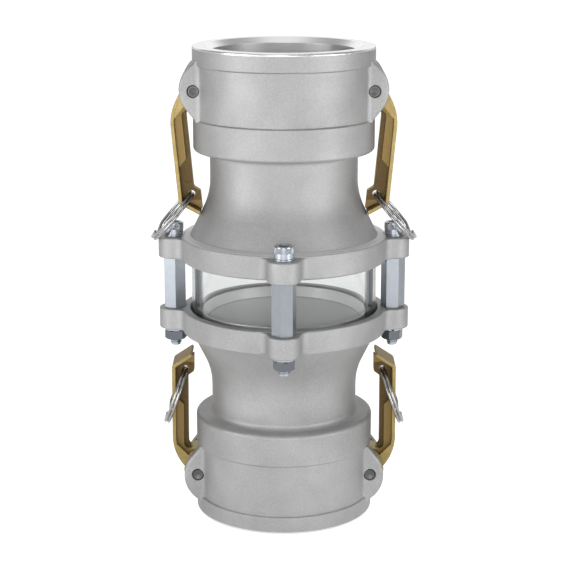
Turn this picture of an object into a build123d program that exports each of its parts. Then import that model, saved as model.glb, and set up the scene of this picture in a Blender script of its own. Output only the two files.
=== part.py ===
from build123d import *
from math import acos, asin, cos, degrees, radians, sin, sqrt, tan
import os

# In-line sight glass: a clear tube clamped between two cam-and-groove couplers.
# Millimetres. +Z runs along the pipe, and z = 0 is the rim of the lower mouth.
# Each half is modelled upwards from the middle of the tube, and the lower half is its mirror image.

# Lengths along the pipe
coupler_length = 178.7
flange_gap = 42.6

# Coupler socket, made for a 4 inch cam-and-groove adapter
bore_r = 60.3
bore_land = 15.8
entry_chamfer = 5.7
entry_depth = 4.5
cam_chamber_relief = 0.9
gasket_seat_depth = 73.0
gasket_pocket_height = 7.0
gasket_pocket_relief = 2.0

# Outside of the coupler, from the mouth inwards
mouth_wall = 15.45
mouth_band_height = 15.2
ear_band_step = 1.95
gasket_band_step = 0.25
gasket_band_height = 27.1
neck_step = 1.5
neck_wall = 8.3

# Sight flange and its flared foot
flange_ledge = 7.6
flange_thickness = 20.2
flare_spread = 17.1
flare_angle = 26.3
flare_blend_share = 0.36
lip_taper = 2.9
lip_taper_depth = 8.8
throat_taper_angle = 15.0

# Sight tube and its seals
tube_inset = 8.3
tube_wall = 7.0
groove_depth = 10.0
groove_inner_clearance = 1.4
groove_outer_clearance = 1.7
tube_gasket_thickness = 3.0
tube_gasket_slack = 0.4
lip_wall = 4.1

# Coupler gasket
gasket_slack = 0.3
gasket_bulge = 2.7
gasket_thickness = 6.35

# Tie screws, spacers, washers and nuts
tie_beyond_rim = 6.1
tie_count = 4
boss_r = 13.4
boss_inset = 0.6
boss_height = 17.8
boss_blend_r = 9.0
spot_face = 0.6
screw_r = 5.0
screw_hole_r = 5.6
screw_length = 97.0
screw_head_r = 8.0
screw_head_height = 10.0
screw_socket_flats = 8.0
screw_socket_depth = 5.0
washer_r = 8.6
washer_thickness = 1.8
spring_washer_r = 8.9
spring_washer_thickness = 2.2
spring_washer_split = 1.6
nut_flats = 16.0
nut_height = 8.4
nut_turn = 10.0
spacer_flats = 17.6
spacer_bore_r = 5.7
spacer_chamfer = 0.8
spacer_turns = {"right": 54.8, "back": 20.0, "left": 35.8, "front": 13.3}

# Cam arm ears, pins and slots
pin_r = 5.0
pin_depth = 35.3
pin_beyond_bore = 13.3
pin_recess = 0.3
ear_gap = 29.6
ear_wall = 13.0
ear_r = 25.8
ear_centre_inset = 14.0
ear_centre_rise = 1.1
ear_foot_inset = 2.0
ear_foot_rise = 0.4
ear_foot_overlap = 1.0
ear_root_blend_r = 6.0
ear_edge_r = 2.2
slot_clearance = 1.2

# Cam arm, seen from the side: p outwards from the pin, l along the arm to its tip
hub_width = 28.0
hub_r = 12.7
pin_running_clearance = 0.06
cam_r = 16.5
cam_inset = 4.2
cam_rise = 2.6
cam_flat = 12.6
plate_face = 22.4
plate_thickness = 3.2
plate_tip_width = 30.0
plate_bend_r = 42.0
plate_bend_end = 30.1
plate_to_flange = 29.5
hook_angle = 33.6
hook_length = 19.6
root_height = 17.0
root_width = 18.0
rib_face = 12.8
rib_to_hook = 36.3
web_width = 8.0
web_face = 9.2
web_to_hook = 11.7
hump_face = 3.9
hump_to_hook = 7.7
ring_hole_p = 11.6
ring_hole_to_hook = 5.8
ring_hole_r = 3.05
pocket_depth = 0.8
hook_clearance = 0.4
lower_arm_rest = 4.9

# Pull rings: a split ring of two turns
ring_r = 25.1
ring_wire_r = 1.2
ring_pitch = 2.7
ring_split_angle = 40.0
ring_split_half = 14.0
ring_boss_gap = 1.4
ring_plate_gap = 1.6

# Worked out from the sizes above
half_length = coupler_length + flange_gap / 2
pin_z = half_length - pin_depth
ear_band_foot = pin_z + ear_centre_rise - ear_r + ear_foot_rise
flange_face_z = flange_gap / 2
flange_back_z = flange_face_z + flange_thickness
boss_face_z = flange_face_z + boss_inset
boss_back_z = boss_face_z + boss_height
groove_floor_z = flange_face_z + groove_depth
tube_end_z = groove_floor_z - tube_gasket_thickness
mouth_band_r = bore_r + mouth_wall
ear_band_r = mouth_band_r - ear_band_step
gasket_band_r = mouth_band_r - gasket_band_step
neck_r = bore_r + neck_step
throat_r = neck_r - neck_wall
flare_foot_r = neck_r + flare_spread
flange_r = flare_foot_r + flange_ledge
tie_axis_r = flange_r + tie_beyond_rim
tube_outer_r = flange_r - tube_inset
tube_inner_r = tube_outer_r - tube_wall
groove_inner_r = tube_inner_r - groove_inner_clearance
groove_outer_r = tube_outer_r + groove_outer_clearance
spacer_corner_r = spacer_flats / sqrt(3)
land_foot_z = half_length - entry_depth - bore_land
cam_chamber_r = bore_r + cam_chamber_relief
gasket_seat_z = half_length - gasket_seat_depth
gasket_pocket_r = bore_r + gasket_pocket_relief
pin_offset = bore_r + pin_beyond_bore
ear_root_x = cam_chamber_r + 1
ear_face_y = ear_gap / 2 + ear_wall
cam_reach = sqrt(cam_inset**2 + cam_rise**2) + cam_r
plate_length = coupler_length - flange_thickness - pin_depth - plate_to_flange
rib_length = plate_length - rib_to_hook
ring_hole_l = plate_length - ring_hole_to_hook


def section(corners):
    """A flat face from (x, y, corner radius) points"""
    face = make_face(Polyline([(x, y) for x, y, _ in corners], close=True)).face()
    for x, y, radius in corners:
        if radius:
            corner = face.vertices().sort_by_distance((x, y, 0))[0]
            face = face.fillet_2d(radius, [corner])
    return face


def turned(corners):
    """A solid turned about Z from (radius, z, corner radius) points"""
    return revolve(Plane.XZ * section(corners), Axis.Z)


def slab(face, width):
    """A face in arm or ear coordinates, given a width about its own plane"""
    return extrude(face, amount=width / 2, both=True)


def around_ties(piece):
    """One copy of a piece at each tie screw, as separate solids"""
    places = PolarLocations(tie_axis_r, tie_count, rotate=True)
    return Compound(children=[place * piece for place in places])


def casting_shell():
    """The turned shape of one half: flange, flare, neck, bands, socket and tube groove"""
    ear_band_top = half_length - mouth_band_height
    neck_top = ear_band_foot - gasket_band_height
    flare_top = flange_back_z + (flare_foot_r - neck_r) / tan(radians(flare_angle))
    blend_length = flare_blend_share * (neck_top - flare_top)
    flare_blend_r = blend_length / tan(radians(flare_angle / 2))
    lip_inner_r = groove_inner_r - lip_wall
    lip_crest_r = lip_inner_r + lip_taper
    lip_foot_z = flange_face_z + lip_taper_depth
    throat_foot_z = lip_foot_z + (lip_inner_r - throat_r) / tan(radians(throat_taper_angle))
    return turned([
        (lip_crest_r, flange_face_z, 0.5),
        (lip_inner_r, lip_foot_z, 0.9),
        (throat_r, throat_foot_z, 40.0),
        (throat_r, gasket_seat_z, 1.0),
        (gasket_pocket_r, gasket_seat_z, 0),
        (gasket_pocket_r, gasket_seat_z + gasket_pocket_height, 0),
        (cam_chamber_r, gasket_seat_z + gasket_pocket_height, 0),
        (cam_chamber_r, land_foot_z, 0),
        (bore_r, land_foot_z, 0),
        (bore_r, half_length - entry_depth, 0),
        (bore_r + entry_chamfer, half_length, 0.4),
        (mouth_band_r, half_length, 1.5),
        (mouth_band_r, ear_band_top, 0.9),
        (ear_band_r, ear_band_top, 0.9),
        (ear_band_r, ear_band_foot, 0.8),
        (gasket_band_r, ear_band_foot, 0.8),
        (gasket_band_r, neck_top, 3.0),
        (neck_r, neck_top, 4.5),
        (neck_r, flare_top, flare_blend_r),
        (flare_foot_r, flange_back_z, 2.0),
        (flange_r, flange_back_z, 2.0),
        (flange_r, flange_face_z, 1.0),
        (groove_outer_r, flange_face_z, 0.5),
        (groove_outer_r, groove_floor_z, 0),
        (groove_inner_r, groove_floor_z, 0),
        (groove_inner_r, flange_face_z, 0.5),
    ])


def tie_bosses():
    """Four bosses on the flange, blended into its rim, without their screw holes"""
    places = PolarLocations(tie_axis_r, tie_count)
    plan = Circle(flange_r) + places * Circle(boss_r)
    inner_corners = plan.vertices().filter_by(lambda v: hypot_xy(v) < tie_axis_r)
    plan = fillet(inner_corners, boss_blend_r) - Circle(groove_outer_r + 2)
    block = extrude(Pos(0, 0, boss_face_z) * plan, amount=boss_height)
    rims = block.edges().filter_by(lambda e: hypot_xy(e.center()) > flange_r - 1).filter_by(Plane.XY)
    return fillet(rims, 1.2)


def hypot_xy(point):
    """Distance of a point from the pipe's axis"""
    return sqrt(point.X**2 + point.Y**2)


def ear_outline():
    """Side outline of an ear in (x, z): a round nose and a straight flank to its foot"""
    centre_x, centre_z = pin_offset - ear_centre_inset, pin_z + ear_centre_rise
    foot_x = pin_offset - ear_foot_inset
    foot_z = ear_band_foot - ear_foot_overlap
    reach_x, reach_z = foot_x - centre_x, foot_z - centre_z
    foot_distance = sqrt(reach_x**2 + reach_z**2)
    touch_angle = radians(degrees(acos(ear_r / foot_distance)) - degrees(acos(reach_x / foot_distance)))
    touch = (centre_x + ear_r * cos(touch_angle), centre_z + ear_r * sin(touch_angle))
    crest = (ear_root_x, centre_z + sqrt(ear_r**2 - (ear_root_x - centre_x)**2))
    nose = ThreePointArc(crest, (centre_x + ear_r, centre_z), touch)
    return make_face(nose + Polyline([touch, (foot_x, foot_z), (ear_root_x, foot_z), crest]))


def ear_pair():
    """Two ears on the +X side with their root blends, still solid inside the body's wall"""
    outline = Plane.XZ * ear_outline()
    block = extrude(outline, amount=ear_face_y, both=True)
    faces = block.faces().filter_by(Axis.Y)
    rims = faces.edges().filter_by(lambda e: e.center().X > ear_root_x + 1 and e.center().Z > ear_band_foot)
    block = fillet(rims, ear_edge_r)
    meet_x = sqrt(ear_band_r**2 - ear_face_y**2)
    corner = sqrt((ear_band_r + ear_root_blend_r)**2 - (ear_face_y + ear_root_blend_r)**2)
    touch_share = ear_band_r / (ear_band_r + ear_root_blend_r)
    touch = (corner * touch_share, (ear_face_y + ear_root_blend_r) * touch_share)
    blend_plan = make_face(Polyline([
        (corner, ear_face_y), touch, (touch[0] - 2, touch[1] - 4), (meet_x - 2, ear_face_y - 4),
        (corner, ear_face_y - 4),
    ], close=True)) - Pos(corner, ear_face_y + ear_root_blend_r) * Circle(ear_root_blend_r)
    blend = extrude(blend_plan, amount=half_length)
    blend = blend & extrude(outline, amount=ear_face_y + ear_root_blend_r, both=True)
    gap = Pos(pin_offset, 0, pin_z) * Box(4 * ear_r, ear_gap, 4 * ear_r)
    return block + blend + mirror(blend, about=Plane.XZ) - gap


def cam_slot():
    """The window through the wall between two ears, where the cam turns"""
    sweep_r = cam_reach + slot_clearance
    above = Pos(0, land_foot_z - pin_z + sweep_r) * Rectangle(2 * sweep_r, 2 * sweep_r)
    side = Plane(origin=(pin_offset, 0, pin_z), x_dir=(1, 0, 0), z_dir=(0, -1, 0))
    return slab(side * (Circle(sweep_r) - above), ear_gap)


def coupler_casting():
    """One finished half casting, mouth upwards"""
    ears = ear_pair()
    inside = Cylinder(cam_chamber_r + 0.5, 2 * half_length)
    body = casting_shell() + tie_bosses()
    body += (ears + mirror(ears, about=Plane.YZ)) - inside
    slot = cam_slot()
    body -= slot + mirror(slot, about=Plane.YZ)
    for side in (-1, 1):
        across = Pos(side * pin_offset, 0, pin_z) * Rot(90, 0, 0)
        body -= across * Cylinder(pin_r, 2 * (ear_face_y + ear_root_blend_r))
        for end in (-1, 1):
            rim = Pos(side * pin_offset, end * (ear_face_y - 0.3), pin_z) * Rot(-90 * end, 0, 0)
            body -= rim * Cone(pin_r, pin_r + 0.6, 0.6)
    for place in PolarLocations(tie_axis_r, tie_count):
        body -= place * Pos(0, 0, boss_face_z + boss_height / 2) * Cylinder(screw_hole_r, 2 * boss_height)
        body -= place * Pos(0, 0, boss_face_z - boss_inset) * Cylinder(spacer_corner_r + spot_face, 2 * boss_inset)
        body -= place * Pos(0, 0, boss_back_z + boss_inset + 1) * Cylinder(washer_r + spot_face, 2 * boss_inset + 2)
    return body


def sight_tube():
    """The clear tube"""
    return turned([
        (tube_inner_r, -tube_end_z, 0.6), (tube_outer_r, -tube_end_z, 0.6),
        (tube_outer_r, tube_end_z, 0.6), (tube_inner_r, tube_end_z, 0.6),
    ])


def tube_gasket():
    """Flat ring at the floor of the tube groove"""
    inner = groove_inner_r + tube_gasket_slack
    outer = groove_outer_r - tube_gasket_slack
    return turned([
        (inner, tube_end_z, 0), (outer, tube_end_z, 0),
        (outer, groove_floor_z, 0), (inner, groove_floor_z, 0),
    ])


def coupler_gasket():
    """Thick ring that the adapter presses on"""
    top = gasket_seat_z + gasket_thickness
    inner = throat_r - gasket_bulge
    outer = gasket_pocket_r - gasket_slack
    return turned([
        (inner, gasket_seat_z, 0.8), (outer, gasket_seat_z, 0.8), (outer, top, 0.8), (inner, top, 0.8),
    ])


def tie_screw():
    """Socket head cap screw, head up, its place on the tie circle still to come"""
    seat = boss_back_z + washer_thickness
    screw = turned([
        (0, seat - screw_length, 0), (screw_r - 1.2, seat - screw_length, 0),
        (screw_r, seat - screw_length + 1.2, 0), (screw_r, seat, 0),
        (screw_head_r, seat, 0.5), (screw_head_r, seat + screw_head_height, 1.0),
        (0, seat + screw_head_height, 0),
    ])
    socket = RegularPolygon(screw_socket_flats / 2, 6, major_radius=False)
    top = Pos(0, 0, seat + screw_head_height)
    mouth = top * Pos(0, 0, -0.25) * Cone(screw_socket_flats / 2, screw_socket_flats / 2 + 0.8, 0.5)
    return screw - extrude(top * socket, amount=-screw_socket_depth) - mouth


def washer():
    """Small washer under a screw head"""
    return turned([
        (screw_hole_r, boss_back_z, 0), (washer_r, boss_back_z, 0.3),
        (washer_r, boss_back_z + washer_thickness, 0.3), (screw_hole_r, boss_back_z + washer_thickness, 0),
    ])


def spring_washer():
    """Split washer, squeezed flat between the lower boss and a nut"""
    middle_r = (spring_washer_r + screw_hole_r) / 2
    wire = Rectangle(spring_washer_r - screw_hole_r, spring_washer_thickness)
    wire = Plane.XZ * Pos(middle_r, -boss_back_z - spring_washer_thickness / 2) * wire
    split = degrees(spring_washer_split / middle_r)
    return Rot(0, 0, split / 2 - 90) * revolve(wire, Axis.Z, 360 - split)


def hexagon_bar(flats, foot, top, corner_chamfer, hole_r):
    """Hexagonal bar along Z with a hole, its corners chamfered at both ends and one of them on +X"""
    bar = extrude(Pos(0, 0, foot) * RegularPolygon(flats / 2, 6, major_radius=False), amount=top - foot)
    corner_r = flats / sqrt(3) + 0.1
    end_r = flats / 2 - 0.3
    bar &= turned([
        (0, foot, 0), (end_r, foot, 0), (corner_r, foot + corner_chamfer, 0),
        (corner_r, top - corner_chamfer, 0), (end_r, top, 0), (0, top, 0),
    ])
    return bar - Pos(0, 0, (foot + top) / 2) * Cylinder(hole_r, 2 * (top - foot))


def nut():
    """Hexagon nut under a spring washer"""
    top = -boss_back_z - spring_washer_thickness
    return Rot(0, 0, nut_turn) * hexagon_bar(nut_flats, top - nut_height, top, 1.0, screw_r)


def hex_spacer():
    """Hexagonal spacer between two facing bosses"""
    return hexagon_bar(spacer_flats, -boss_face_z, boss_face_z, spacer_chamfer, spacer_bore_r)


def pivot_pin():
    """Pin across an ear pair, along local Z, with dished ends"""
    length = 2 * (ear_face_y - pin_recess)
    pin = Cylinder(pin_r, length)
    pin = chamfer(pin.edges().filter_by(GeomType.CIRCLE), 0.5)
    for end in (0, 180):
        pin -= Rot(end, 0, 0) * Pos(0, 0, length / 2 - 0.4) * Cone(0.4, pin_r - 1.4, 0.8)
    return pin


def arm_plate():
    """The arm's outer plate: curved heel, straight back and hooked end"""
    slope = radians(hook_angle)
    fold = plate_thickness * (1 - sin(slope)) / cos(slope)
    bend_centre = (plate_face - plate_bend_r, plate_bend_end)
    inner_face = plate_face - plate_thickness
    tip = (plate_face - hook_length * cos(slope), plate_length + hook_length * sin(slope))
    inner_tip = (tip[0] - plate_thickness * sin(slope), tip[1] - plate_thickness * cos(slope))
    inner_corner = (inner_face, plate_length - plate_thickness * cos(slope) + fold * sin(slope))
    heel = -40.0
    outer_bend = CenterArc(bend_centre, plate_bend_r, heel, -heel)
    inner_bend = CenterArc(bend_centre, plate_bend_r - plate_thickness, heel, -heel)
    back = Polyline([outer_bend @ 1, (plate_face, plate_length), tip, inner_tip, inner_corner, inner_bend @ 1])
    band = make_face(outer_bend + back + inner_bend + Line(inner_bend @ 0, outer_bend @ 0)).face()
    for corner, radius in (((plate_face, plate_length), 3.6), (inner_corner, 1.0), (tip, 0.8), (inner_tip, 1.6)):
        vertex = band.vertices().sort_by_distance((corner[0], corner[1], 0))[0]
        band = band.fillet_2d(radius, [vertex])
    plate = slab(band, plate_tip_width)
    taper = make_face(Polyline([
        (-10, -hub_width / 2), (20, -hub_width / 2), (plate_length, -plate_tip_width / 2),
        (plate_length + 20, -plate_tip_width / 2), (plate_length + 20, plate_tip_width / 2),
        (plate_length, plate_tip_width / 2), (20, hub_width / 2), (-10, hub_width / 2),
    ], close=True))
    along = Plane(origin=(0, 0, 0), x_dir=(0, 1, 0), z_dir=(1, 0, 0))
    plate = plate & extrude(along * taper, amount=2 * plate_face)
    edges = plate.edges().filter_by(lambda e: abs(e.center().Z) > hub_width / 2 - 0.6)
    return fillet(edges, 0.7)


def arm_hub():
    """The full-width hub with its cam lobe, up to the slanted shoulder"""
    lobe = Cylinder(cam_r, hub_width)
    lobe = Pos(-cam_inset, cam_rise) * chamfer(lobe.edges().filter_by(GeomType.CIRCLE), 0.5)
    heel = Cylinder(hub_r, hub_width)
    heel = chamfer(heel.edges().filter_by(GeomType.CIRCLE), 0.5)
    below = Pos(0, -cam_flat - cam_r) * Box(4 * cam_r, 2 * cam_r, 2 * hub_width)
    heel_space = Pos(plate_face - plate_bend_r, plate_bend_end) * Circle(plate_bend_r - 0.5)
    shoulder_end = (plate_face - 4.0, plate_face - 0.2)
    shoulder = make_face(Polyline([
        (0, 3.6), shoulder_end, (plate_face + 1.6, shoulder_end[1]), (plate_face + 1.6, 0), (0, -5),
    ], close=True))
    return lobe + heel + slab(shoulder & heel_space, hub_width - 0.2) - below


def arm_ribs():
    """The wide rib beside the shoulder and the thin web that runs to the hook"""
    inner_face = plate_face - plate_thickness
    rib_end = rib_length + (inner_face - rib_face)
    bend_space = Pos(plate_face - plate_bend_r, plate_bend_end) * Circle(plate_bend_r - 1)
    bend_space += Pos(0, plate_length) * Rectangle(2 * inner_face + 1, 2 * (plate_length - plate_bend_end))
    rib = section([
        (-8, 2, 0), (-8, root_height, 0), (rib_face, root_height, 5.0), (rib_face, rib_length, 1.0),
        (inner_face + 0.4, rib_end + 0.4, 0), (inner_face + 0.4, 22, 0), (10, 2, 0),
    ])
    web = section([
        (-6, 4, 0), (-6, root_height, 0), (web_face, root_height, 5.0), (web_face, plate_length - web_to_hook, 2.5),
        (hump_face, plate_length - hump_to_hook, 2.5), (hump_face, plate_length + 7.2, 0), (inner_face + 0.4, plate_length - 1.6, 0),
        (inner_face + 0.4, 22, 0), (10, 4, 0),
    ])
    web -= Pos(ring_hole_p, ring_hole_l) * Circle(ring_hole_r)
    ribs = slab(rib & bend_space, root_width) + slab(web & bend_space, web_width)
    return ribs - arm_pockets()


def arm_pockets():
    """Shallow casting pockets on both faces of the web"""
    inner, outer, top = web_face + 1.6, plate_face - plate_thickness - 3.9, plate_length - 15.7
    upper = section([
        (inner, rib_length + 3.6, 1.0), (outer, rib_length + 7.6, 1.0), (outer, top, 1.0), (inner, top, 1.0),
    ])
    lower = section([
        (hump_face + 2, plate_length - 3.1, 1.0), (web_face + 0.4, plate_length - 0.5, 1.0),
        (outer - 2.9, plate_length + 2.3, 1.0), (hump_face + 2, plate_length + 4.9, 1.0),
    ])
    pockets = []
    for face in (upper, lower):
        for end in (-1, 1):
            pockets.append(extrude(Pos(0, 0, end * web_width / 2) * face, amount=-end * pocket_depth))
    return pockets


def cam_arm():
    """One brass cam arm in its own frame: X is p, Y is l and Z is across"""
    arm = arm_plate() + arm_hub() + arm_ribs()
    return arm - Cylinder(pin_r + pin_running_clearance, 2 * hub_width)


def pull_ring():
    """Split ring through the origin, its middle out along X and its axis along Z"""
    wire = Plane.XZ * Pos(ring_r, 0) * Circle(ring_wire_r)
    turn = revolve(wire, Axis.Z, 360 - 2 * ring_split_half)
    start = ring_split_angle + ring_split_half
    stop = ring_split_angle - ring_split_half
    ring = Pos(0, 0, -ring_pitch / 2) * Rot(0, 0, start) * turn
    ring += Pos(0, 0, ring_pitch / 2) * Rot(0, 0, start) * turn

    def on_ring(angle, z):
        return Vector(ring_r * cos(radians(angle)), ring_r * sin(radians(angle)), z)

    low, high = on_ring(stop, -ring_pitch / 2), on_ring(start, ring_pitch / 2)
    step = ThreePointArc(low, on_ring(ring_split_angle, 0), high)
    ring += sweep(Plane(origin=step @ 0, z_dir=step % 0) * Circle(ring_wire_r), path=step)
    ring += Pos(*low) * Sphere(ring_wire_r) + Pos(*high) * Sphere(ring_wire_r)
    return Pos(ring_r, 0, 0) * ring


def arm_place(lean):
    """Where an upper right arm stands, leaning its tip towards the pipe"""
    return Plane(origin=(pin_offset, 0, pin_z), x_dir=(1, 0, 0), z_dir=(0, 1, 0)).location * Rot(0, 0, lean)


def lean_on_flare():
    """Lean of a closed arm, whose hook ends just off the flare"""
    slope, flare = radians(hook_angle), radians(flare_angle)
    tip_p = plate_face - hook_length * cos(slope)
    tip_l = plate_length + hook_length * sin(slope)
    reach = (pin_offset - flare_foot_r) * cos(flare) + (pin_z - flange_back_z) * sin(flare)
    swing = acos((hook_clearance - reach) / sqrt(tip_p**2 + tip_l**2)) - acos(tip_p / sqrt(tip_p**2 + tip_l**2))
    return degrees(swing) - flare_angle


def ring_hole(lean):
    """Middle of the ring's hole in an upper right arm"""
    return (arm_place(lean) * Pos(ring_hole_p, ring_hole_l)).position


def lean_on_boss():
    """Lean of an upper ring, which hangs outside the boss below it"""
    reach = tie_axis_r + boss_r + ring_boss_gap + ring_wire_r + ring_pitch / 2 - ring_hole(lean_on_flare()).X
    return degrees(asin(reach / (2 * ring_r)))


def lean_on_plate():
    """Lean of a lower ring, which hangs down over its arm's plate"""
    reach = plate_face + ring_plate_gap + ring_wire_r + ring_pitch / 2 - ring_hole_p
    return degrees(asin(reach / (ring_r + sqrt(ring_r**2 - (plate_tip_width / 2)**2))))


def ring_place(lean, rise, ring_lean):
    """Where a ring hangs from a right arm's hole; rise is -1 where the arm points up"""
    hole = ring_hole(lean)
    down = Vector(sin(radians(ring_lean)), 0, -cos(radians(ring_lean)))
    origin = (hole.X, 0, hole.Z * rise)
    return Plane(origin=origin, x_dir=down, z_dir=down.cross(Vector(0, 1, 0))).location


def finish(piece, upper, right):
    """Mirror an upper right piece to its place and lift it so the lower rim is z = 0"""
    if not upper:
        piece = mirror(piece, about=Plane.XY)
    if not right:
        piece = mirror(piece, about=Plane.YZ)
    return Pos(0, 0, half_length) * piece


def write(name, piece):
    """Write one node"""
    export_step(piece, "parts/" + name + ".step")


os.makedirs("parts", exist_ok=True)

casting = coupler_casting()
arm = cam_arm()
pin = Pos(pin_offset, 0, pin_z) * Rot(90, 0, 0) * pivot_pin()
ring = pull_ring()

for half in ("upper", "lower"):
    is_upper = half == "upper"
    write(half + "_coupler_body", finish(casting, is_upper, True))
    write(half + "_tube_gasket", finish(tube_gasket(), is_upper, True))
    write(half + "_coupler_gasket", finish(coupler_gasket(), is_upper, True))
    arm_lean = lean_on_flare() if is_upper else lean_on_flare() - lower_arm_rest
    ring_lean = lean_on_boss() if is_upper else lean_on_plate()
    for side in ("left", "right"):
        is_right = side == "right"
        name = half + "_" + side
        write(name + "_cam_arm", finish(arm_place(arm_lean) * arm, is_upper, is_right))
        write(name + "_pivot_pin", finish(pin, is_upper, is_right))
        hung = ring_place(arm_lean, 1 if is_upper else -1, ring_lean) * ring
        write(name + "_pull_ring", finish(hung, True, is_right))

write("sight_tube", Pos(0, 0, half_length) * sight_tube())
for place, side in zip(PolarLocations(tie_axis_r, tie_count, rotate=False), spacer_turns):
    write(side + "_hex_spacer", Pos(0, 0, half_length) * place * Rot(0, 0, spacer_turns[side]) * hex_spacer())
write("socket_head_screws", Pos(0, 0, half_length) * around_ties(tie_screw()))
write("head_washers", Pos(0, 0, half_length) * around_ties(washer()))
write("spring_washers", Pos(0, 0, half_length) * around_ties(spring_washer()))
write("hex_nuts", Pos(0, 0, half_length) * around_ties(nut()))
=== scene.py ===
import bpy
from math import cos, pi, radians, sin, sqrt
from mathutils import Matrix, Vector


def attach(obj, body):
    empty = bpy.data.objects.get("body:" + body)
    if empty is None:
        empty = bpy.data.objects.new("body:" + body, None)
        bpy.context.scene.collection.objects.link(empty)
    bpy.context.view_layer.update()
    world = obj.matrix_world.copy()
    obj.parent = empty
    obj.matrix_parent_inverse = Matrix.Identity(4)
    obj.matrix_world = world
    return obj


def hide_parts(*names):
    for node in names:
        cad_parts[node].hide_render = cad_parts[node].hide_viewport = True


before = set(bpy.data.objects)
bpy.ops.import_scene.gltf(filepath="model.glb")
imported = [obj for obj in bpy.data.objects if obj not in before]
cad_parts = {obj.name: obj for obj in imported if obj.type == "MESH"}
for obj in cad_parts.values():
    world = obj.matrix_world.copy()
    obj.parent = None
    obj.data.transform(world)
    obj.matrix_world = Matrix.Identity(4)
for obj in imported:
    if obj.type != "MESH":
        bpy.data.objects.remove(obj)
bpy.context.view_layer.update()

# Places and sizes in metres. A RISE is a distance above or below the middle, where the tube is
MIDDLE = 0.2
OVERLAP = 0.001
MERGE = 0.000002
CLOSE = 0.0001

# Pivot pins
PIN_X = 0.0736
PIN_RISE = 0.1647
PIN_DISH_R = 0.00425

# Tie screws
HEAD_SEAT = 0.2415
HEAD_HEIGHT = 0.010
HEAD_R = 0.008
BAND_FOOT = 0.0044
BAND_TOP = 0.0091
BAND_ROWS = 6
HEAD_SIDES = 60
KNURL = 0.00025
KEY_FLATS = 0.008
KEY_DEPTH = 0.005
SCREW_R = 0.005
SCREW_LENGTH = 0.097
THREAD_PITCH = 0.0015
THREAD_DEPTH = 0.0009
THREAD_GAP = 0.00006
THREAD_TURNS = 13
TIE_REACH = 0.0926

# Sight tube
TUBE_R = 0.0782
TUBE_WALL = 0.0070
TUBE_LENGTH = 0.0566
TUBE_SOFTENING = 0.0006
TUBE_MID_WALL_R = 0.07425

# Turned and cast places on the castings
SOCKET_R = 0.0666
SOCKET_RISE = 0.1205
ENTRY_RISE = 0.19545
RIM_RISE = 0.1978
LIP_R = 0.0699
LIP_RISE = 0.0298
THROAT_SLOPE = 0.268
THROAT_REACH = 0.07615
THROAT_RISE = 0.03085
LEDGE_R = 0.07885
LEDGE_RISE = 0.0415
LEDGE_HALF = 0.00045

# Cam arms, from their middle planes
WEB_FACE = 0.0046
PLATE_INSIDE = 0.00955
HOOK_SIDE = 0.0137
HOOK_RISE = 0.0708


def make_camera():
    """The photograph's view: from the front, 14 degrees above the middle"""
    data = bpy.data.cameras.new("camera")
    data.lens = 103.2
    data.sensor_width = 36.0
    data.shift_x = 0.0019
    data.shift_y = -0.0074
    data.clip_end = 20
    camera = bpy.data.objects.new("camera", data)
    bpy.context.scene.collection.objects.link(camera)
    tilt = radians(13.95)
    reach = 1.3895
    camera.location = (0, -reach * cos(tilt), MIDDLE + reach * sin(tilt))
    camera.rotation_euler = (radians(90) - tilt, 0, 0)
    bpy.context.scene.camera = camera


def bar(name, radius, foot, top, sides=48):
    """A round or many-sided bar on the Z axis, with its place in its mesh"""
    bpy.ops.object.select_all(action="DESELECT")
    bpy.ops.mesh.primitive_cylinder_add(vertices=sides, radius=radius, depth=top - foot,
                                        location=(0, 0, (foot + top) / 2))
    bpy.ops.object.transform_apply(location=True, rotation=True, scale=True)
    piece = bpy.context.object
    piece.name = name
    return piece


def pick(piece, kind, test):
    """Select only the faces or edges of a piece that pass a test, in edit mode"""
    bpy.ops.mesh.select_mode(type=kind)
    bpy.ops.mesh.select_all(action="DESELECT")
    bpy.ops.object.mode_set(mode="OBJECT")
    mesh = piece.data
    for part in (mesh.polygons if kind == "FACE" else mesh.edges):
        part.select = test(part, [mesh.vertices[i].co for i in part.vertices])
    bpy.ops.object.mode_set(mode="EDIT")


def on_level(ends, level):
    """True where every point lies at one height"""
    return all(abs(end.z - level) < CLOSE for end in ends)


def ring_cut(level):
    """A loop of edges round the piece in edit mode at one height"""
    bpy.ops.mesh.select_all(action="SELECT")
    bpy.ops.mesh.bisect(plane_co=(0, 0, level), plane_no=(0, 0, 1))


def soften(piece, size, segments, test):
    """Bevel the edges that pass a test, in edit mode"""
    pick(piece, "EDGE", test)
    bpy.ops.mesh.bevel(offset=size, segments=segments, affect="EDGES")


def close_up(smooth_angle):
    """Merge doubles, point the faces outwards, leave edit mode and smooth all but the real edges"""
    bpy.ops.mesh.select_all(action="SELECT")
    bpy.ops.mesh.remove_doubles(threshold=MERGE)
    bpy.ops.mesh.normals_make_consistent(inside=False)
    bpy.ops.object.mode_set(mode="OBJECT")
    bpy.ops.object.shade_smooth_by_angle(angle=radians(smooth_angle))


def apply_modifier(piece, kind, **settings):
    """Put one modifier on a piece and apply it"""
    modifier = piece.modifiers.new(kind.lower(), kind)
    for key, value in settings.items():
        setattr(modifier, key, value)
    bpy.ops.object.select_all(action="DESELECT")
    piece.select_set(True)
    bpy.context.view_layer.objects.active = piece
    bpy.ops.object.modifier_apply(modifier=modifier.name)


def join_pieces(pieces):
    """Make several pieces one, the first"""
    bpy.ops.object.select_all(action="DESELECT")
    for piece in pieces:
        piece.select_set(True)
    bpy.context.view_layer.objects.active = pieces[0]
    bpy.ops.object.join()
    return pieces[0]


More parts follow.
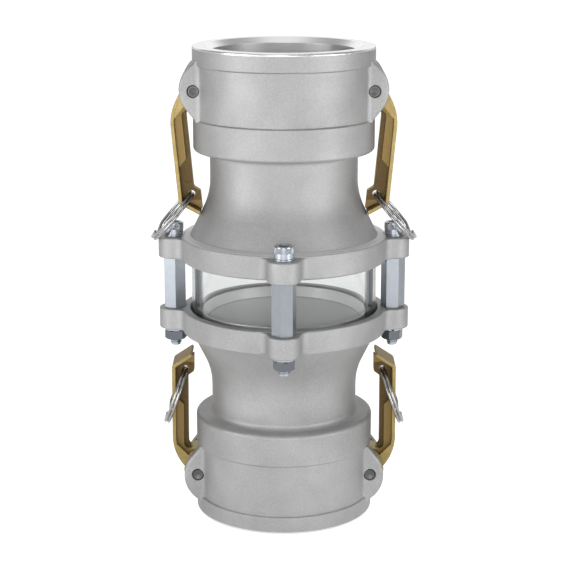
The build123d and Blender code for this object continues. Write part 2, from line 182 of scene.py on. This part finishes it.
def screw_head():
    """A cap head: softened rims, a knurled band and a hexagon socket"""
    top = HEAD_SEAT + HEAD_HEIGHT
    band_foot, band_top = HEAD_SEAT + BAND_FOOT, HEAD_SEAT + BAND_TOP
    key_corner = KEY_FLATS / 2 / cos(pi / 6)
    head = bar("cap_head", HEAD_R - KNURL, HEAD_SEAT, top, HEAD_SIDES)
    bpy.ops.object.mode_set(mode="EDIT")
    soften(head, 0.0007, 2, lambda painted_dark_band, ends: on_level(ends, top))
    soften(head, 0.0002, 1, lambda painted_dark_band, ends: on_level(ends, HEAD_SEAT))
    for row in range(BAND_ROWS + 1):
        ring_cut(band_foot + (band_top - band_foot) * row / BAND_ROWS)
    pick(head, "FACE", lambda face, corners: abs(face.normal.z) < 0.1
         and all(band_foot - CLOSE < corner.z < band_top + CLOSE for corner in corners))
    bpy.ops.mesh.poke(offset=KNURL)
    bpy.ops.object.mode_set(mode="OBJECT")
    key = bar("socket_key", key_corner, top - KEY_DEPTH, top + OVERLAP, 6)
    apply_modifier(head, "BOOLEAN", operation="DIFFERENCE", solver="EXACT", object=key)
    bpy.data.objects.remove(key)
    bpy.ops.object.mode_set(mode="EDIT")
    soften(head, 0.0003, 1, lambda painted_dark_band, ends: on_level(ends, top)
           and all(end.xy.length < key_corner + CLOSE for end in ends))
    close_up(30)
    return head


def screw_thread(foot):
    """A ridge of triangular section wound round the screw's core, closed at both ends"""
    ridge = (THREAD_PITCH - THREAD_GAP) / sqrt(3)
    bpy.ops.object.select_all(action="DESELECT")
    bpy.ops.mesh.primitive_circle_add(vertices=3, radius=ridge, rotation=(pi / 2, pi / 2, 0),
                                      location=(SCREW_R - ridge, 0, foot + THREAD_PITCH))
    bpy.ops.object.transform_apply(location=True, rotation=True, scale=True)
    thread = bpy.context.object
    thread.name = "thread"
    apply_modifier(thread, "SCREW", axis="Z", angle=2 * pi, screw_offset=THREAD_PITCH,
                   iterations=THREAD_TURNS, steps=32, render_steps=32, use_merge_vertices=False)
    bpy.ops.object.mode_set(mode="EDIT")
    bpy.ops.mesh.select_all(action="SELECT")
    bpy.ops.mesh.fill_holes(sides=3)
    close_up(40)
    return thread


def tie_screws(material):
    """Four socket head screws with knurled heads and wound threads, in place of the plain ones"""
    foot = HEAD_SEAT - SCREW_LENGTH
    thread_top = foot + THREAD_PITCH * (THREAD_TURNS + 1)
    pieces = [screw_head(), screw_thread(foot)]
    for name, radius, low, high in (
        ("shank", SCREW_R, thread_top, HEAD_SEAT + OVERLAP),
        ("core", SCREW_R - THREAD_DEPTH, foot, thread_top + OVERLAP),
    ):
        piece = bar(name, radius, low, high)
        bpy.ops.object.mode_set(mode="EDIT")
        soften(piece, 0.0004, 1, lambda painted_dark_band, ends: on_level(ends, low))
        close_up(30)
        pieces.append(piece)
    screw = join_pieces(pieces)
    copies = []
    for quarter in range(4):
        bpy.ops.object.select_all(action="DESELECT")
        screw.select_set(True)
        bpy.context.view_layer.objects.active = screw
        bpy.ops.object.duplicate()
        angle = quarter * pi / 2
        bpy.ops.transform.translate(value=(TIE_REACH * cos(angle), TIE_REACH * sin(angle), 0))
        bpy.ops.object.transform_apply(location=True, rotation=True, scale=True)
        copies.append(bpy.context.object)
    bpy.data.objects.remove(screw)
    piece = join_pieces(copies)
    piece.name = "tie_screws"
    piece.data.materials.append(material)
    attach(piece, "housing")
    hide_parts("socket_head_screws")


def clear_tube(material):
    """The sight tube: a round bar, bored through, with its four rims softened"""
    foot, top = MIDDLE - TUBE_LENGTH / 2, MIDDLE + TUBE_LENGTH / 2
    piece = bar("round_tube", TUBE_R, foot, top, 256)
    bpy.ops.object.mode_set(mode="EDIT")
    pick(piece, "FACE", lambda face, corners: abs(face.normal.z) > 0.9)
    bpy.ops.mesh.inset(thickness=TUBE_WALL)
    bpy.ops.mesh.bridge_edge_loops()
    soften(piece, TUBE_SOFTENING, 3, lambda painted_dark_band, ends: on_level(ends, ends[0].z)
           and abs(ends[0].xy.length - ends[1].xy.length) < CLOSE)
    ring_cut(foot + 3 * TUBE_SOFTENING)
    ring_cut(top - 3 * TUBE_SOFTENING)
    close_up(50)
    piece.data.materials.append(material)
    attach(piece, "housing")
    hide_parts("sight_tube")


class Nodes:
    """A short way to write a node tree"""

    def __init__(self, name):
        self.material = bpy.data.materials.new(name)
        self.material.use_nodes = True
        self.tree = self.material.node_tree
        self.shader = self.tree.nodes["Principled BSDF"]

    def add(self, kind, inputs=None, **settings):
        node = self.tree.nodes.new("ShaderNode" + kind)
        for key, value in settings.items():
            setattr(node, key, value)
        for key, value in (inputs or {}).items():
            self.put(node.inputs[key], value)
        return node

    def put(self, socket, value):
        if isinstance(value, bpy.types.NodeSocket):
            self.tree.links.new(value, socket)
        else:
            socket.default_value = value

    def place(self):
        return self.add("TexCoord").outputs["Object"]

    def noise(self, scale, detail=3.0, rough=0.55, vector=None):
        node = self.add("TexNoise", {"Scale": scale, "Detail": detail, "Roughness": rough})
        self.put(node.inputs["Vector"], vector or self.place())
        return node.outputs["Fac"]

    def maths(self, operation, first, second=0.0, third=0.0):
        return self.add("Math", {0: first, 1: second, 2: third}, operation=operation).outputs[0]

    def span(self, value, low, high, to_low=0.0, to_high=1.0):
        node = self.add("MapRange", {"Value": value, "From Min": low, "From Max": high,
                                     "To Min": to_low, "To Max": to_high})
        return node.outputs["Result"]

    def above(self, value, place, soft):
        """1 past a place and 0 before it, with a soft step"""
        return self.span(value, place - soft / 2, place + soft / 2)

    def below(self, value, place, soft):
        """1 before a place and 0 past it, with a soft step"""
        return self.span(value, place + soft / 2, place - soft / 2)

    def both(self, first, *others):
        """1 only where all are 1"""
        for other in others:
            first = self.maths("MULTIPLY", first, other)
        return first

    def from_axis(self, parts):
        """Distance from the Z axis"""
        flat = self.add("CombineXYZ", {"X": parts.outputs["X"], "Y": parts.outputs["Y"]})
        return self.add("VectorMath", {0: flat.outputs[0]}, operation="LENGTH").outputs["Value"]

    def from_middle(self, parts):
        """Height above or below the middle"""
        return self.maths("ABSOLUTE", self.maths("SUBTRACT", parts.outputs["Z"], MIDDLE))

    def blend(self, factor, first, second):
        node = self.add("Mix", data_type="RGBA")
        self.put(node.inputs["Factor"], factor)
        self.put(node.inputs["A"], first)
        self.put(node.inputs["B"], second)
        return node.outputs["Result"]

    def bump(self, height, strength, distance):
        node = self.add("Bump", {"Strength": strength, "Distance": distance, "Height": height})
        self.put(self.shader.inputs["Normal"], node.outputs["Normal"])

    def set(self, **values):
        for key, value in values.items():
            self.put(self.shader.inputs[key.replace("_", " ")], value)


def grey(value):
    return (value, value, value, 1)


def cast_aluminium():
    """Sand-cast aluminium, turned bright in the socket, on the rim and on the tube's inner lip,
    with a painted highlight making the rim paler still, a painted highlight on a band round the
    flange's top face and painted light in the throat cone
    """
    m = Nodes("cast_aluminium")
    parts = m.add("SeparateXYZ", {"Vector": m.place()})
    radius, height = m.from_axis(parts), m.from_middle(parts)
    inside = m.both(m.below(radius, SOCKET_R, 0.0004), m.above(height, SOCKET_RISE, 0.001))
    entry = m.both(inside, m.above(height, ENTRY_RISE, 0.0005))
    rim = m.maths("MAXIMUM", m.above(height, RIM_RISE, 0.0004), entry)
    lip = m.both(m.below(radius, LIP_R, 0.0002), m.below(height, LIP_RISE, 0.0002))
    turned = m.maths("MAXIMUM", inside, m.maths("MAXIMUM", rim, lip))
    # Painted light: the throat cone inside the lower flange is painted lighter with grey(0.66),
    # standing in for light that the flanges and the glass keep out of the tube
    cone = m.maths("MULTIPLY_ADD", height, THROAT_SLOPE, radius)
    throat = m.both(m.below(cone, THROAT_REACH, 0.0003), m.above(height, THROAT_RISE, 0.0007))
    # Painted highlight: a thin band round the flange's top face, near its outside, painted lighter
    # with grey(0.84)
    top_band_highlight = m.both(m.above(radius, LEDGE_R, 0.0007),
                   m.above(height, LEDGE_RISE - LEDGE_HALF, 0.0003),
                   m.below(height, LEDGE_RISE + LEDGE_HALF, 0.0003))

    grain = m.noise(1100, 4, 0.75)
    pits = m.noise(420, 3, 0.6)
    cloud = m.noise(18, 4, 0.6)
    tone = m.maths("ADD", m.maths("MULTIPLY", cloud, 0.4), m.maths("MULTIPLY", grain, 0.6))
    cast = m.blend(m.span(tone, 0.36, 0.64), grey(0.36), grey(0.55))
    # Painted light on the throat cone, grey(0.66), and painted highlight on the flange's top band,
    # grey(0.84), laid over the cast tone
    painted_light_tone = m.blend(throat, grey(0.84), grey(0.66))
    cast = m.blend(m.maths("MAXIMUM", throat, top_band_highlight), cast, painted_light_tone)
    # The turned faces' grey(0.78) is their own brightness; the rim's paler grey(0.94) is a painted
    # highlight
    m.set(Base_Color=m.blend(turned, cast, m.blend(rim, grey(0.78), grey(0.94))))
    m.set(Metallic=m.maths("MULTIPLY_ADD", turned, 0.30, 0.70))
    satin = m.span(turned, 0, 1, 0.56, 0.42)
    m.set(Roughness=m.maths("SUBTRACT", satin, m.maths("MULTIPLY", rim, 0.17)))

    across = m.add("CombineXYZ", {"X": height, "Y": radius})
    lines = m.add("TexWave", {"Vector": across.outputs[0], "Scale": 900.0, "Distortion": 0.0})
    cut = m.maths("MULTIPLY", lines.outputs["Fac"], 0.12)
    rough = m.maths("ADD", m.maths("MULTIPLY", grain, 0.7), pits)
    surface = m.add("Mix", {"Factor": turned, "A": rough, "B": cut})
    m.bump(surface.outputs["Result"], 0.6, 0.00028)
    return m.material


def brass():
    """Forged brass: golden on the plate; painted shade in dark brown on the rib and darker still on
    the web, on the faces set in between the plates; darker brown on the hook
    """
    m = Nodes("arm_brass")
    parts = m.add("SeparateXYZ", {"Vector": m.place()})
    across = m.maths("ABSOLUTE", parts.outputs["Y"])
    facing = m.add("SeparateXYZ", {"Vector": m.add("TexCoord").outputs["Normal"]})
    sideways = m.span(m.maths("ABSOLUTE", facing.outputs["Y"]), 0.45, 0.60)
    # Painted shade: faces turned along Y that lie in between the plates are painted dark
    painted_shade_mask = m.both(sideways, m.below(across, PLATE_INSIDE, 0.0009))
    hook = m.both(m.below(m.from_middle(parts), HOOK_RISE, 0.0008),
                  m.below(across, HOOK_SIDE, 0.0006))

    cloud = m.noise(60, 4, 0.6)
    grain = m.noise(900, 3, 0.6)
    plate = m.blend(m.span(cloud, 0.3, 0.7), (0.33, 0.25, 0.093, 1), (0.44, 0.34, 0.148, 1))
    # Painted shade: the rib's dark brown and the web's darker brown; the hook is given the same
    # dark brown as the rib
    rib = (0.25, 0.172, 0.066, 1)
    web = (0.12, 0.08, 0.034, 1)
    pocket_shade = m.blend(m.above(across, WEB_FACE, 0.0008), web, rib)
    m.set(Base_Color=m.blend(hook, m.blend(painted_shade_mask, plate, pocket_shade), rib))
    m.set(Metallic=0.85, Roughness=m.span(grain, 0.3, 0.7, 0.38, 0.50))
    m.bump(grain, 0.15, 0.0001)
    return m.material


def steel(name, colour, roughness):
    """Bright steel, faintly mottled"""
    m = Nodes(name)
    mottle = m.span(m.noise(160, 3, 0.6), 0.3, 0.7)
    m.set(Base_Color=m.blend(mottle, [share * 0.9 for share in colour] + [1], list(colour) + [1]))
    m.set(Metallic=1.0, Roughness=m.span(mottle, 0, 1, roughness - 0.03, roughness + 0.03))
    return m.material


def pin_steel():
    """Turned steel, with painted shade: dark in the groove round the dished end"""
    m = Nodes("pin_steel")
    parts = m.add("SeparateXYZ", {"Vector": m.place()})
    side = m.maths("SUBTRACT", m.maths("ABSOLUTE", parts.outputs["X"]), PIN_X)
    rise = m.maths("SUBTRACT", m.from_middle(parts), PIN_RISE)
    square = m.maths("ADD", m.maths("MULTIPLY", side, side), m.maths("MULTIPLY", rise, rise))
    # Painted shade: a dark ring round the dished end, standing in for the shade in the groove
    groove = m.above(m.maths("SQRT", square), PIN_DISH_R, 0.0003)
    m.set(Base_Color=m.blend(groove, grey(0.15), grey(0.02)))
    m.set(Metallic=1.0, Roughness=0.38)
    return m.material


def rubber():
    """Black rubber"""
    m = Nodes("gasket_rubber")
    m.set(Base_Color=m.blend(m.noise(300), grey(0.012), grey(0.03)), Roughness=0.7)
    m.bump(m.noise(900), 0.2, 0.0001)
    return m.material


def clear():
    """Clear glass, with painted shade: darker where the wall is seen along its length, standing in
    for the dark band that refraction shows there
    """
    m = Nodes("clear_tube")
    parts = m.add("SeparateXYZ", {"Vector": m.place()})
    outside = m.above(m.from_axis(parts), TUBE_MID_WALL_R, 0.0005)
    facing = m.add("LayerWeight", {"Blend": 0.5}).outputs["Facing"]
    # Painted shade: the outer wall is painted dark where it is seen at a grazing angle
    painted_dark_band = m.both(outside, m.above(facing, 0.54, 0.04), m.span(facing, 0.76, 0.70, 0.25, 1))
    m.set(Base_Color=m.blend(painted_dark_band, (0.82, 0.83, 0.83, 1), (0.20, 0.21, 0.21, 1)))
    m.set(Roughness=0.02, IOR=1.47)
    m.set(Transmission_Weight=1.0)
    light_through = m.add("BsdfTransparent", {"Color": grey(0.85)})
    shade = m.add("LightPath").outputs["Is Shadow Ray"]
    mixed = m.add("MixShader", {0: shade, 1: m.shader.outputs[0], 2: light_through.outputs[0]})
    m.put(m.tree.nodes["Material Output"].inputs["Surface"], mixed.outputs[0])
    return m.material


def dress():
    """Give every CAD node its material, and put the round and knurled pieces in"""
    aluminium, arm, rubber_black, glass = cast_aluminium(), brass(), rubber(), clear()
    stainless = steel("stainless", (0.50, 0.49, 0.49), 0.12)
    zinc = steel("zinc_steel", (0.55, 0.59, 0.64), 0.17)
    spacer = steel("spacer_zinc", (0.40, 0.43, 0.465), 0.34)
    nut = steel("nut_steel", (0.20, 0.215, 0.24), 0.18)
    pin = pin_steel()
    for name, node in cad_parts.items():
        material = zinc
        if name.endswith("coupler_body"):
            material = aluminium
        elif name.endswith("gasket"):
            material = rubber_black
        elif name.endswith("cam_arm"):
            material = arm
        elif name.endswith("pivot_pin"):
            material = pin
        elif name.endswith("pull_ring"):
            material = stainless
        elif name.endswith("spacer"):
            material = spacer
        elif name == "hex_nuts":
            material = nut
        elif name == "sight_tube":
            material = glass
        node.data.materials.clear()
        node.data.materials.append(material)
    tie_screws(zinc)
    clear_tube(glass)


class World(Nodes):
    """The same short way for the world"""

    def __init__(self):
        world = bpy.data.worlds.new("studio")
        bpy.context.scene.world = world
        world.use_nodes = True
        self.tree = world.node_tree
        self.tree.nodes.clear()


def studio():
    """White behind and in clear view, a dim room in front, above and at the sides"""
    w = World()
    path = w.add("LightPath")
    seen = w.maths("MAXIMUM", path.outputs["Is Camera Ray"], path.outputs["Is Transmission Ray"])
    way = w.add("SeparateXYZ", {"Vector": w.add("TexCoord").outputs["Generated"]})
    behind = w.both(w.span(way.outputs["Y"], 0.55, 0.80), w.span(way.outputs["Z"], -0.02, 0.10))
    low = w.span(way.outputs["Z"], 0.75, 0.45, 0, 0.08)
    high = w.span(way.outputs["Z"], 0.55, 0.90, 0, 0.22)
    ahead = w.span(way.outputs["Y"], -0.45, -0.95, 0.22, 0.41)
    room = w.maths("ADD", w.maths("ADD", low, high), ahead)
    strip = w.maths("MULTIPLY", w.span(w.maths("ABSOLUTE", way.outputs["X"]), 0.45, 0.20),
                    w.span(way.outputs["Z"], 0.70, 0.90, 0, 0.85))
    level = w.maths("MAXIMUM", w.maths("MAXIMUM", behind, w.maths("MAXIMUM", room, strip)), seen)
    soft = w.add("Background", {"Color": (1, 1, 1, 1), "Strength": level})
    out = w.add("OutputWorld")
    w.put(out.inputs["Surface"], soft.outputs[0])


def floor():
    """A white floor that keeps a faint shadow"""
    bpy.ops.mesh.primitive_plane_add(size=12, location=(0, 0, -0.0005))
    plane = bpy.context.object
    plane.name = "floor"
    m = Nodes("floor")
    path = m.add("LightPath")
    out = m.tree.nodes["Material Output"]
    m.set(Base_Color=grey(0.60), Roughness=0.9)
    glow = m.add("Emission", {"Color": (1, 1, 1, 1), "Strength": 0.88})
    lit = m.add("BsdfDiffuse", {"Color": grey(0.55)})
    white = m.add("AddShader", {0: glow.outputs[0], 1: lit.outputs[0]})
    seen = m.maths("MAXIMUM", path.outputs["Is Camera Ray"], path.outputs["Is Transmission Ray"])
    shown = m.maths("MAXIMUM", seen, m.maths("MULTIPLY", path.outputs["Is Glossy Ray"], 0.54))
    mixed = m.add("MixShader", {0: shown, 1: m.shader.outputs[0], 2: white.outputs[0]})
    m.put(out.inputs["Surface"], mixed.outputs[0])
    plane.data.materials.append(m.material)


def lamps():
    """Two tall soft boxes in front at the sides, and a weak one above the camera"""
    aim = Vector((0, 0, MIDDLE))
    for name, azimuth, rise, distance, wide, tall, power in (
        ("left box", -58, -0.12, 1.3, 0.75, 1.6, 12.6),
        ("right box", 56, -0.12, 1.3, 0.70, 1.6, 12.2),
        ("front box", -4, 0.02, 1.7, 0.9, 0.9, 7.5),
    ):
        light = bpy.data.lights.new(name, "AREA")
        light.shape = "RECTANGLE"
        light.size = wide
        light.size_y = tall
        light.energy = power
        lamp = bpy.data.objects.new(name, light)
        angle = radians(azimuth)
        lamp.location = aim + Vector((sin(angle), -cos(angle), rise)) * distance
        lamp.rotation_euler = (lamp.location - aim).to_track_quat("Z", "Y").to_euler()
        bpy.context.scene.collection.objects.link(lamp)


make_camera()
studio()
floor()
lamps()
dress()
bpy.context.scene.view_settings.view_transform = "Standard"
